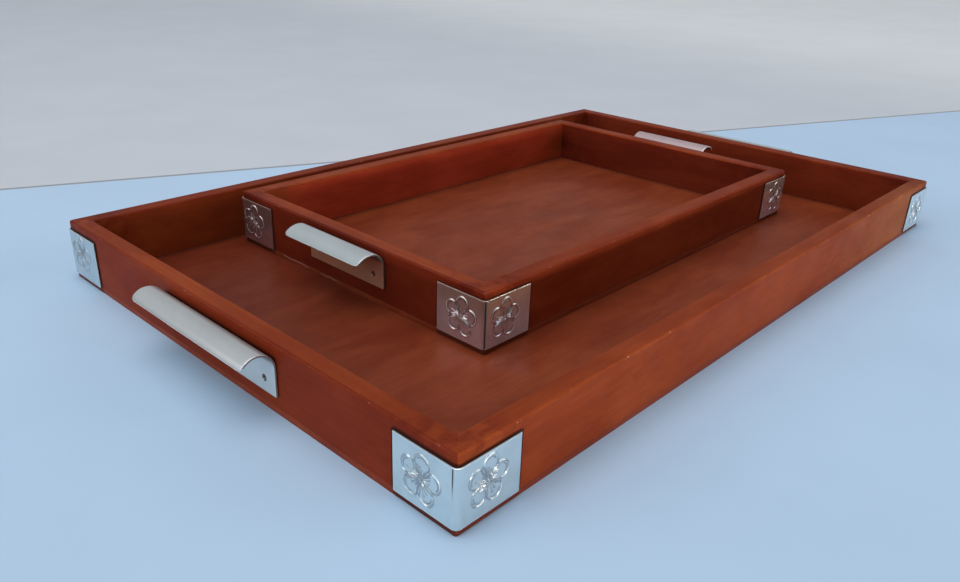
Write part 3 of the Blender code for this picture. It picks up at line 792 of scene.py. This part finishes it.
# Shifts of the two blossoms from the middles of the legs, across and up; the crease's place, its width
# and its share of the full depth at the foot and at the top; how much of the crests is left without wear
# and painted highlight; and how strong the painted highlight on the sheet's top edge and its other edges is
PRESSINGS = {
    "large": {
        "shifts": ((-0.0012, 0.0), (-0.0014, 0.0013)), "crease": (-0.0016, 0.0005, 0.0, 0.85),
        "unbrightened": 0.30, "bright_edges": (0.32, 0.35)},
    "small": {
        "shifts": ((0.0008, 0.0002), (-0.0026, 0.0005)), "crease": (0.0002, 0.0008, 1.0, 0.9),
        "unbrightened": -0.4, "bright_edges": (0.25, 0.0)},
}


def ridge(distance, width):
    """Height of a rounded ridge at a distance from its crest."""
    reach = distance / width
    return (1 - reach * reach) ** 2 if abs(reach) < 1 else 0


def fade(value, start, end):
    """Smooth step from 0 at the start to 1 at the end."""
    step = min(max((value - start) / (end - start), 0), 1)
    return step * step * (3 - 2 * step)


def petal_height(along, across):
    """Height of one petal's lines and of its swell, in shares, with its root towards the heart."""
    centre, long_half, broad_half = 0.60, 0.38, 0.36
    reach = math.hypot((along - centre) / long_half, across / broad_half)
    outside = (reach - 1) * broad_half
    tip = fade(along, centre - 0.15, centre + 0.10)
    slant = abs(across) * math.cos(0.53) - along * math.sin(0.53)
    outline = ridge(outside, 0.050) * tip
    inner_line = 0.5 * ridge(outside + 0.10, 0.035) * fade(along, centre + 0.08, centre + 0.22)
    side = 0.8 * ridge(slant, 0.040) * (1 - tip) * fade(along, 0.12, 0.30)
    swell = 0.22 * (1 - reach ** 4) if reach < 1 else 0
    return max(outline, inner_line, side), swell


def stroke_height(along, across, reach):
    """Height of one thin stroke that runs out from the heart and ends in a bead."""
    if along < 0.08:
        return 0
    line = ridge(across, 0.036) if along < reach else 0
    bead = ridge(math.hypot(along - reach, across), 0.055)
    return max(line, bead)


def blossom_strokes(count):
    """Strokes of a blossom as (turn, reach), four in each petal."""
    draw = random.Random(7)
    strokes = []
    for petal in range(count):
        for spread in (-0.42, -0.14, 0.14, 0.42):
            turn = FULL_TURN * petal / count + spread + draw.uniform(-0.06, 0.06)
            strokes.append((turn, draw.uniform(0.36, 0.70)))
    return strokes


def blossom_height(across, up, plates, strokes):
    """Height of the pressed blossom's lines and of its swell at a spot of the plate, in shares."""
    spot_x, spot_y = across / plates.blossom, up / plates.blossom
    if math.hypot(spot_x, spot_y) > 1.05:
        return 0, 0

    def seen_from(turn):
        """The spot along a direction from the heart, and aside of it."""
        return (spot_x * math.cos(turn) + spot_y * math.sin(turn),
                spot_y * math.cos(turn) - spot_x * math.sin(turn))

    lines, swell = ridge(math.hypot(spot_x, spot_y), 0.10), 0
    start = QUARTER_TURN + plates.tilt
    for petal in range(plates.petals):
        along, aside = seen_from(start + FULL_TURN * petal / plates.petals)
        if along > 0:
            outline, puff = petal_height(along, aside)
            lines, swell = max(lines, outline), max(swell, puff)
    for turn, reach in strokes:
        along, aside = seen_from(turn + start)
        lines = max(lines, 0.85 * stroke_height(along, aside, reach))
    return lines, swell


def round_corner(spot, radius, half_arc):
    """Takes a spot of the flat sheet, with its height off the wood, to its place round a corner."""
    across, up, height = spot
    if across < -half_arc:
        return Vector((-height, radius - across - half_arc, up))
    if across > half_arc:
        return Vector((radius + across - half_arc, -height, up))
    turn = math.pi + QUARTER_TURN * (across + half_arc) / (2 * half_arc)
    reach = radius + height
    return Vector((radius + reach * math.cos(turn), radius + reach * math.sin(turn), up))


def press_plate(bm, face, half_span, half_height, bend_at, pressing):
    """Presses the blossoms and the crease into a flat sheet, and marks how dull it is, where wear and painted
    highlight pale it, and where painted shade and soiling darken it.
    """
    plates = bpy.context.scene.tray_plates
    strokes = blossom_strokes(plates.petals)
    shifts = pressing["shifts"]
    crease_at, crease_width, foot_share, top_share = pressing["crease"]
    least = pressing["unbrightened"]
    top_edge, other_edge = pressing["bright_edges"]
    marks = bm.verts.layers.float_color.new("marks")
    for vert in bm.verts:
        across, up, height = vert.co
        edge = min(half_span - abs(across), half_height - abs(up))
        dull, shaded_and_dirty = 0.0, 0.0
        # Painted highlight along the sheet's edges, with its own strength on the top edge.
        wear_and_highlight = top_edge if half_height - up < plates.edge * 1.2 else other_edge
        # The sheet's back edges, against the wood, take painted shade.
        if edge < TOLERANCE and height < plates.gap + TOLERANCE:
            wear_and_highlight, shaded_and_dirty = 0.0, 0.9
        if edge > plates.edge * 1.2:
            wear_and_highlight = 0.0
            if height > face - TOLERANCE:
                shift_x, shift_y = shifts[0] if across < 0 else shifts[1]
                middle = math.copysign(bend_at, across) + shift_x
                lines, swell = blossom_height(across - middle, up - shift_y, plates, strokes)
                deep = foot_share + (top_share - foot_share) * fade(up, -0.3 * half_height, 0.8 * half_height)
                crease = deep * ridge(across - crease_at, crease_width)
                vert.co.z += plates.relief * max(lines, swell) - plates.crease * crease
                dull = 2.8 * lines * (1 - lines)
                # Painted shade and soiling in the crease.
                shaded_and_dirty = min(1.6 * crease, 0.96)
                patchy = fade(noise.noise(Vector((across, up, crease_at)) * 260), least - 0.2, least + 0.2)
                # Worn and painted highlight on the crests, in patches.
                wear_and_highlight = 0.9 * fade(lines, 0.55, 0.95) * patchy
        vert[marks] = (min(dull, 1), wear_and_highlight, shaded_and_dirty, 1)


def plate_mesh(leg, plate_height, pressing):
    """Plate round a corner at the origin, with the wood on its +X +Y side, about the height 0.

    It is pressed and edged as a flat sheet, and then bent.
    """
    plates = bpy.context.scene.tray_plates
    radius = bpy.context.scene.tray_wood.corner_rounding
    outside = plates.gap + plates.sheet
    half_arc = QUARTER_TURN * (radius + outside) / 2
    half_span = leg - radius + half_arc
    bm = sheet_grid(2 * half_span, plate_height, plates.cell, plates.cell)
    for vert in bm.verts:
        vert.co.z = plates.gap
    raised = bmesh.ops.extrude_face_region(bm, geom=bm.faces[:])["geom"]
    top = [item for item in raised if isinstance(item, bmesh.types.BMVert)]
    for vert in top:
        vert.co.z = outside
    bmesh.ops.recalc_face_normals(bm, faces=bm.faces[:])
    bm.normal_update()
    under = [face for face in bm.faces if face.normal.z < -0.9]
    leg_at = half_arc + plates.cell
    legs = [[face for face in under if face.calc_center_median().x * way > leg_at] for way in (-1, 1)]
    for faces in legs:
        bmesh.ops.dissolve_faces(bm, faces=faces, use_verts=True)
    bm.normal_update()
    round_edges(bm, cap_edges(bm, outside), plates.edge, 2)
    press_plate(bm, outside, half_span, plate_height / 2, leg / 2 - radius + half_arc, pressing)
    for vert in bm.verts:
        vert.co = round_corner(vert.co, radius, half_arc)
    bm.normal_update()
    mesh = bpy.data.meshes.new("corner_plate")
    bm.to_mesh(mesh)
    bm.free()
    return mesh


# Handles and fasteners

# Cells of a handle's mesh, along its section and along its length
HANDLE_CELLS = (0.0004, 0.0012)
# Sides of a turned screw and of a turned pin, and the turn of a screw's slot
SCREW_SIDES, PIN_SIDES = 32, 24
SLOT_TURN = math.radians(35)
# Room round a screw's and a pin's head, how far a sink starts outside, and the depths of the sinks
SCREW_ROOM, PIN_ROOM = 0.00006, 0.0001
SINK_START = -0.001
SCREW_SINK, PIN_SINK = 0.004, 0.0009


def handle_spot(travel, height, bend, lip):
    """Spot of a handle's outside at a distance along its section, as (out, up) from the plate's foot."""
    straight = height - bend
    if travel < straight:
        return 0, travel
    travel -= straight
    if travel < QUARTER_TURN * bend:
        turn = math.pi - travel / bend
        return bend + bend * math.cos(turn), straight + bend * math.sin(turn)
    turn = QUARTER_TURN - (travel - QUARTER_TURN * bend) / lip
    return bend + lip * math.cos(turn), height - lip + lip * math.sin(turn)


def corner_inset(distance, radius):
    """How far a rounded corner draws in at a distance from the edge."""
    left = min(max(radius - distance, 0), radius)
    return radius - math.sqrt(radius ** 2 - left ** 2)


def lip_handle(tray, end):
    """Back plate that bends over and rolls into a hanging lip, cut from one sheet."""
    handles = bpy.context.scene.tray_handles
    low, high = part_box(f"{tray.name}_handle_{end}")
    side = ENDS[end]
    foot_x = high.x if side < 0 else low.x
    height = high.z - low.z
    span = high.y - low.y
    lip = getattr(handles, f"{tray.name}_lip")
    roll = getattr(handles, f"{tray.name}_roll")
    developed = height - handles.bend + QUARTER_TURN * handles.bend + lip * roll
    bm = sheet_grid(developed, span, *HANDLE_CELLS)
    for vert in bm.verts:
        travel = vert.co.x + developed / 2
        inset = corner_inset(developed - travel, handles.lip_corner)
        inset += corner_inset(travel, handles.plate_corner)
        aside = vert.co.y * (1 - 2 * inset / span)
        out, up = handle_spot(travel, height, handles.bend, lip)
        vert.co = (foot_x + side * out, (low.y + high.y) / 2 + aside, low.z + up)
    bmesh.ops.recalc_face_normals(bm, faces=bm.faces[:])
    crown = max(bm.faces, key=lambda face: face.calc_center_median().z)
    if crown.normal.z < 0:
        bmesh.ops.reverse_faces(bm, faces=bm.faces[:])
    bmesh.ops.solidify(bm, geom=bm.faces[:], thickness=handles.sheet)
    bm.normal_update()
    rim = [edge for edge in bm.edges if len(edge.link_faces) == 2 and edge.calc_face_angle() > 1]
    round_edges(bm, rim, handles.edge, 2)
    return bm


def screw_place(node, side):
    """How a screw lies, the radius of its head and its length."""
    low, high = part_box(node)
    middle = middle_of(node)
    start = Vector((low.x if side < 0 else high.x, middle.y, middle.z))
    return pointing(start, (-side, 0, 0)), (high.z - low.z) / 2, high.x - low.x


def slotted_screw(node, side):
    """Turned countersunk screw with a slot across its slightly dished head, in a node's place."""
    place, head, length_along = screw_place(node, side)
    neck = head * 0.53
    profile = [
        (0.00010, 0), (0.00008, head * 0.55), (0, head * 0.93), (0.00006, head), (neck, neck),
        (length_along - 2 * neck, neck), (length_along, 0)]
    screw = new_object(f"{node}_finished", turned(profile, SCREW_SIDES, place))
    slot_size = Matrix.Diagonal((head * 0.30, head * 2.6, head * 0.55, 1))
    slot = bmesh.new()
    bmesh.ops.create_cube(slot, size=1, matrix=place @ Matrix.Rotation(SLOT_TURN, 4, "Z") @ slot_size)
    cut(screw, new_object("slot", slot))
    return screw


def screw_sink(node, side):
    """Countersunk hole for a screw, open at its head."""
    place, head, _ = screw_place(node, side)
    head += SCREW_ROOM
    profile = [
        (SINK_START, 0), (SINK_START, head), (0, head), (head * 0.5, head * 0.6), (SCREW_SINK, head * 0.6),
        (SCREW_SINK, 0)]
    return new_object("sink", turned(profile, SCREW_SIDES, place))


def pin_sink(node, foot):
    """Round hole for a pin's head, open at the panel's foot."""
    low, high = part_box(node)
    middle = middle_of(node)
    head = (high.x - low.x) / 2 + PIN_ROOM
    profile = [(SINK_START, 0), (SINK_START, head), (PIN_SINK, head), (PIN_SINK, 0)]
    return new_object("sink", turned(profile, PIN_SIDES, Matrix.Translation((middle.x, middle.y, foot))))


def panel_pin(node):
    """Flat-headed pin with a soft rim, in a node's place."""
    low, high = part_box(node)
    middle = (low + high) / 2
    head = (high.x - low.x) / 2
    length_along = high.z - low.z
    neck = head * 0.44
    profile = [
        (0, 0), (0, head * 0.90), (head * 0.06, head * 0.98), (head * 0.16, head), (head * 0.36, neck),
        (length_along - 2 * neck, neck), (length_along, 0)]
    return turned(profile, PIN_SIDES, Matrix.Translation((middle.x, middle.y, low.z)))


# Operators

class TRAYS_OT_panels(Operator):
    """Build the base panels of both trays, with the sinks of their pins"""

    bl_idname = "trays.panels"
    bl_label = "Base Panels"

    def execute(self, context):
        for number, name in enumerate(TRAYS):
            tray = TrayPlan(name)
            node = f"{name}_base_panel"
            panel = new_object(f"{node}_finished", base_panel(tray))
            for pin in [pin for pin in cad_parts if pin.startswith(f"{name}_panel_pin")]:
                cut(panel, pin_sink(pin, tray.low.z))
            dress(panel, node, stained_wood(node, tray, "", (0.37 * number, 0.11, 0)))
        return {"FINISHED"}


class TRAYS_OT_boards(Operator):
    """Build the four mitred boards of both trays"""

    bl_idname = "trays.boards"
    bl_label = "Boards"

    def execute(self, context):
        for name in TRAYS:
            tray = TrayPlan(name)
            for number, side in enumerate((*SIDES, *ENDS)):
                node = f"{name}_{side}_board"
                board = new_object(f"{node}_finished", mitred_board(tray, side))
                shift = (0.21 * number, 0.33 * number, 0.05 * len(name) * number)
                dress(board, node, stained_wood(node, tray, side, shift))
        return {"FINISHED"}


class TRAYS_OT_plates(Operator):
    """Build the corner plates with their pressed blossoms"""

    bl_idname = "trays.plates"
    bl_label = "Corner Plates"

    def execute(self, context):
        plates = context.scene.tray_plates
        for name in TRAYS:
            tray = TrayPlan(name)
            finish = bright_plate(tray)
            pattern = plate_mesh(tray.leg, tray.plate_high.z - tray.plate_low.z, PRESSINGS[name])
            for side, side_y in SIDES.items():
                for end, side_x in ENDS.items():
                    node = f"{name}_corner_plate_{side}_{end}"
                    turn = math.atan2(side_y, side_x) - math.atan2(-1, -1)
                    corner = Matrix.Translation(tray.corner(side_x, side_y, middle_of(node).z))
                    place = corner @ Matrix.Rotation(turn, 4, "Z")
                    bm = bmesh.new()
                    bm.from_mesh(pattern)
                    bmesh.ops.transform(bm, matrix=place, verts=bm.verts[:])
                    bm.normal_update()
                    for vert in bm.verts:
                        vert.co += vert.normal * plates.dents * noise.noise(vert.co * 110)
                    dress(new_object(f"{node}_finished", bm), node, finish)
            bpy.data.meshes.remove(pattern)
        return {"FINISHED"}


class TRAYS_OT_handles(Operator):
    """Build the lip handles and their slotted screws"""

    bl_idname = "trays.handles"
    bl_label = "Handles"

    def execute(self, context):
        handles = context.scene.tray_handles
        screw_tints = {"large": handles.screw, "small": handles.small_screw}
        for name in TRAYS:
            tray = TrayPlan(name)
            steel = dark_steel(f"{name}_screw_steel", screw_tints[name], 0.35)
            for end, side_x in ENDS.items():
                node = f"{name}_handle_{end}"
                handle = new_object(f"{node}_finished", lip_handle(tray, end))
                for side in SIDES:
                    screw_node = f"{name}_handle_screw_{side}_{end}"
                    cut(handle, screw_sink(screw_node, side_x))
                    dress(slotted_screw(screw_node, side_x), screw_node, steel)
                dress(handle, node, satin_sheet(name, end))
        return {"FINISHED"}


class TRAYS_OT_pins(Operator):
    """Build the pins under the panels, and finish the brads in the mitres"""

    bl_idname = "trays.pins"
    bl_label = "Pins and Brads"

    def execute(self, context):
        steel = dark_steel("pin_steel", context.scene.tray_handles.pin, 0.32)
        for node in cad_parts:
            if "_panel_pin_" in node:
                dress(new_object(f"{node}_finished", panel_pin(node)), node, steel)
            elif "_brad_" in node:
                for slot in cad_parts[node].material_slots:
                    slot.material = steel
        return {"FINISHED"}


class TRAYS_OT_stage(Operator):
    """Lay the table and backdrop, and set the light and the camera"""

    bl_idname = "trays.stage"
    bl_label = "Stage"

    def execute(self, context):
        stage = context.scene.tray_stage
        lay_table(stage)
        hang_lamp(stage)
        light_world(stage)
        set_camera(stage)
        context.scene.view_settings.view_transform = "Standard"
        return {"FINISHED"}


# Stage

# The table's far edge: the level direction square to it, its distance from the origin and its painted shadow
# line
TABLE_EDGE_WAY = Vector((0.384, 0.923, 0)).normalized()
TABLE_EDGE_DISTANCE = 0.2240
TABLE_EDGE_WIDTH = 0.004
STAGE_SIZE = 8
BACKDROP_HEIGHT = -0.002

LAMP_SIZE = 1.2
LAMP_PLACE = Vector((-0.20, 0.05, 1.6))

# Parts of the sky, as the direction they come from and how near to it they start and are full
STRIP_LIGHT = ((-0.30, -0.95, 0), -0.1, 0.9)
OVERHEAD_LIGHT = ((-0.05, 0.62, 0.78), -0.5, 0.8)
SIDE_LIGHT = ((-0.73, 0.03, 0.68), 0.55, 0.97)
WINDOWS = (((-0.69, 0.62, 0.37), 0.94, 0.985), ((0.67, -0.66, 0.34), 0.94, 0.985))
# Heights at which the strip ends and is full
STRIP_HEIGHTS = (0.055, 0.022)


def stage_sheet(name, tints, height, start, end):
    """A level sheet between two distances from the origin, measured square to the table's far edge.

    Its colour runs from the first tint at its left to the second at its right.
    """
    bm = bmesh.new()
    place = Matrix.Translation((0, 0, height))
    bmesh.ops.create_grid(bm, x_segments=2, y_segments=2, size=STAGE_SIZE / 2, matrix=place)
    keep_side(bm, TABLE_EDGE_WAY * start, -TABLE_EDGE_WAY)
    keep_side(bm, TABLE_EDGE_WAY * end, TABLE_EDGE_WAY)
    sheet = new_object(name, bm)
    finish = Finish(name, Roughness=0.75, Specular_IOR_Level=0.2)
    blots = finish.noise((9, 9, 9))
    # On the backdrop, the run from left to right is painted light.
    tint = finish.mix(finish.ramp(finish.axes()[0], 0.5, 1.3), *tints)
    finish.set(Base_Color=finish.tint(tint, finish.ramp(blots, 0.3, 0.7, 1, 0.96)))
    sheet.data.materials.append(finish.material)


def lay_table(stage):
    """Table up to its far edge with a painted shadow line along it, and the paper that lies behind it."""
    line_end = TABLE_EDGE_DISTANCE + TABLE_EDGE_WIDTH
    dark = [part * 0.55 for part in stage.backdrop]
    stage_sheet("table", (stage.table, stage.table), 0, -STAGE_SIZE, TABLE_EDGE_DISTANCE)
    stage_sheet("table_edge", (dark, dark), 0, TABLE_EDGE_DISTANCE, line_end)
    stage_sheet("backdrop", (stage.backdrop, stage.bright_backdrop), BACKDROP_HEIGHT, line_end, STAGE_SIZE)


def hang_lamp(stage):
    """One large soft lamp above and behind the trays."""
    data = bpy.data.lights.new("overhead lamp", "AREA")
    data.shape = "SQUARE"
    data.size = LAMP_SIZE
    data.energy = stage.lamp
    data.color = (1.0, 0.99, 0.97)
    lamp = bpy.data.objects.new("overhead lamp", data)
    lamp.matrix_world = pointing(LAMP_PLACE, LAMP_PLACE)
    bpy.context.scene.collection.objects.link(lamp)


def light_world(stage):
    """Soft light from all round on a pale background.

    It is stronger overhead, behind and at the left, and from a low strip in front of the trays.
    """
    world = bpy.data.worlds.new("studio")
    bpy.context.scene.world = world
    world.use_nodes = True
    world.node_tree.nodes.clear()
    sky = NodeTree(world.node_tree)
    way = sky.node("ShaderNodeTexCoord").outputs["Generated"]

    def towards(light, start, end):
        """Spreads how near a direction comes to a light over start to end."""
        aim, low, high = light
        return sky.ramp(sky.vector("DOT_PRODUCT", {0: way, 1: aim}, "Value"), low, high, start, end)

    strip = sky.times(towards(STRIP_LIGHT, 0, stage.strip), sky.ramp(sky.parts(way)[2], *STRIP_HEIGHTS))
    lights = [
        ((0.97, 0.98, 1.0), towards(OVERHEAD_LIGHT, stage.shade, stage.sky)),
        ((0.75, 0.95, 1.0), towards(SIDE_LIGHT, 0, stage.side)),
        ((1.0, 0.93, 0.85), strip)]
    lights += [((1.0, 0.97, 0.95), towards(window, 0, stage.window)) for window in WINDOWS]
    total = (0, 0, 0)
    for tint, strength in lights:
        total = sky.vector("ADD", {0: total, 1: sky.vector("SCALE", {0: tint, "Scale": strength})})
    light = sky.node("ShaderNodeBackground", {"Color": total, "Strength": 1.0})
    seen = sky.node("ShaderNodeBackground", {"Color": stage.backdrop, "Strength": 1.0})
    from_camera = sky.node("ShaderNodeLightPath").outputs["Is Camera Ray"]
    both = sky.node("ShaderNodeMixShader", {0: from_camera, 1: light.outputs[0], 2: seen.outputs[0]})
    sky.node("ShaderNodeOutputWorld", {"Surface": both.outputs[0]})


def set_camera(stage):
    """Camera at the photograph's viewing angle."""
    data = bpy.data.cameras.new("camera")
    data.sensor_width = 36
    data.lens = stage.lens
    data.shift_x = -0.00177
    data.shift_y = 0.00031
    data.clip_start = 0.01
    camera = bpy.data.objects.new("camera", data)
    turn = Matrix.Rotation(-stage.heading, 4, "Z") @ Matrix.Rotation(QUARTER_TURN - stage.pitch, 4, "X")
    place = Matrix.Translation(stage.camera)
    camera.matrix_world = place @ turn @ Matrix.Rotation(stage.roll, 4, "Z")
    bpy.context.scene.collection.objects.link(camera)
    bpy.context.scene.camera = camera


# Sidebar panel and registration

class TRAYS_PT_sidebar(Panel):
    """Buttons and settings of the trays"""

    bl_idname = "TRAYS_PT_sidebar"
    bl_label = "Nested Serving Trays"
    bl_space_type = "VIEW_3D"
    bl_region_type = "UI"
    bl_category = "Trays"

    def draw(self, context):
        for operator in OPERATORS:
            self.layout.operator(operator.bl_idname)
        for name, group in SETTINGS.items():
            box = self.layout.box()
            box.label(text=group.__doc__)
            for setting in group.__annotations__:
                box.prop(getattr(context.scene, name), setting)


OPERATORS = (
    TRAYS_OT_panels,
    TRAYS_OT_boards,
    TRAYS_OT_plates,
    TRAYS_OT_handles,
    TRAYS_OT_pins,
    TRAYS_OT_stage,
)


def register():
    for item in (*SETTINGS.values(), *OPERATORS, TRAYS_PT_sidebar):
        bpy.utils.register_class(item)
    for name, group in SETTINGS.items():
        setattr(bpy.types.Scene, name, PointerProperty(type=group))


def unregister():
    for name in SETTINGS:
        delattr(bpy.types.Scene, name)
    for item in reversed((*SETTINGS.values(), *OPERATORS, TRAYS_PT_sidebar)):
        bpy.utils.unregister_class(item)


def main():
    """Builds the trays and the stage."""
    register()
    bpy.ops.trays.panels()
    bpy.ops.trays.boards()
    bpy.ops.trays.plates()
    bpy.ops.trays.handles()
    bpy.ops.trays.pins()
    bpy.ops.trays.stage()


if __name__ == "__main__":
    main()
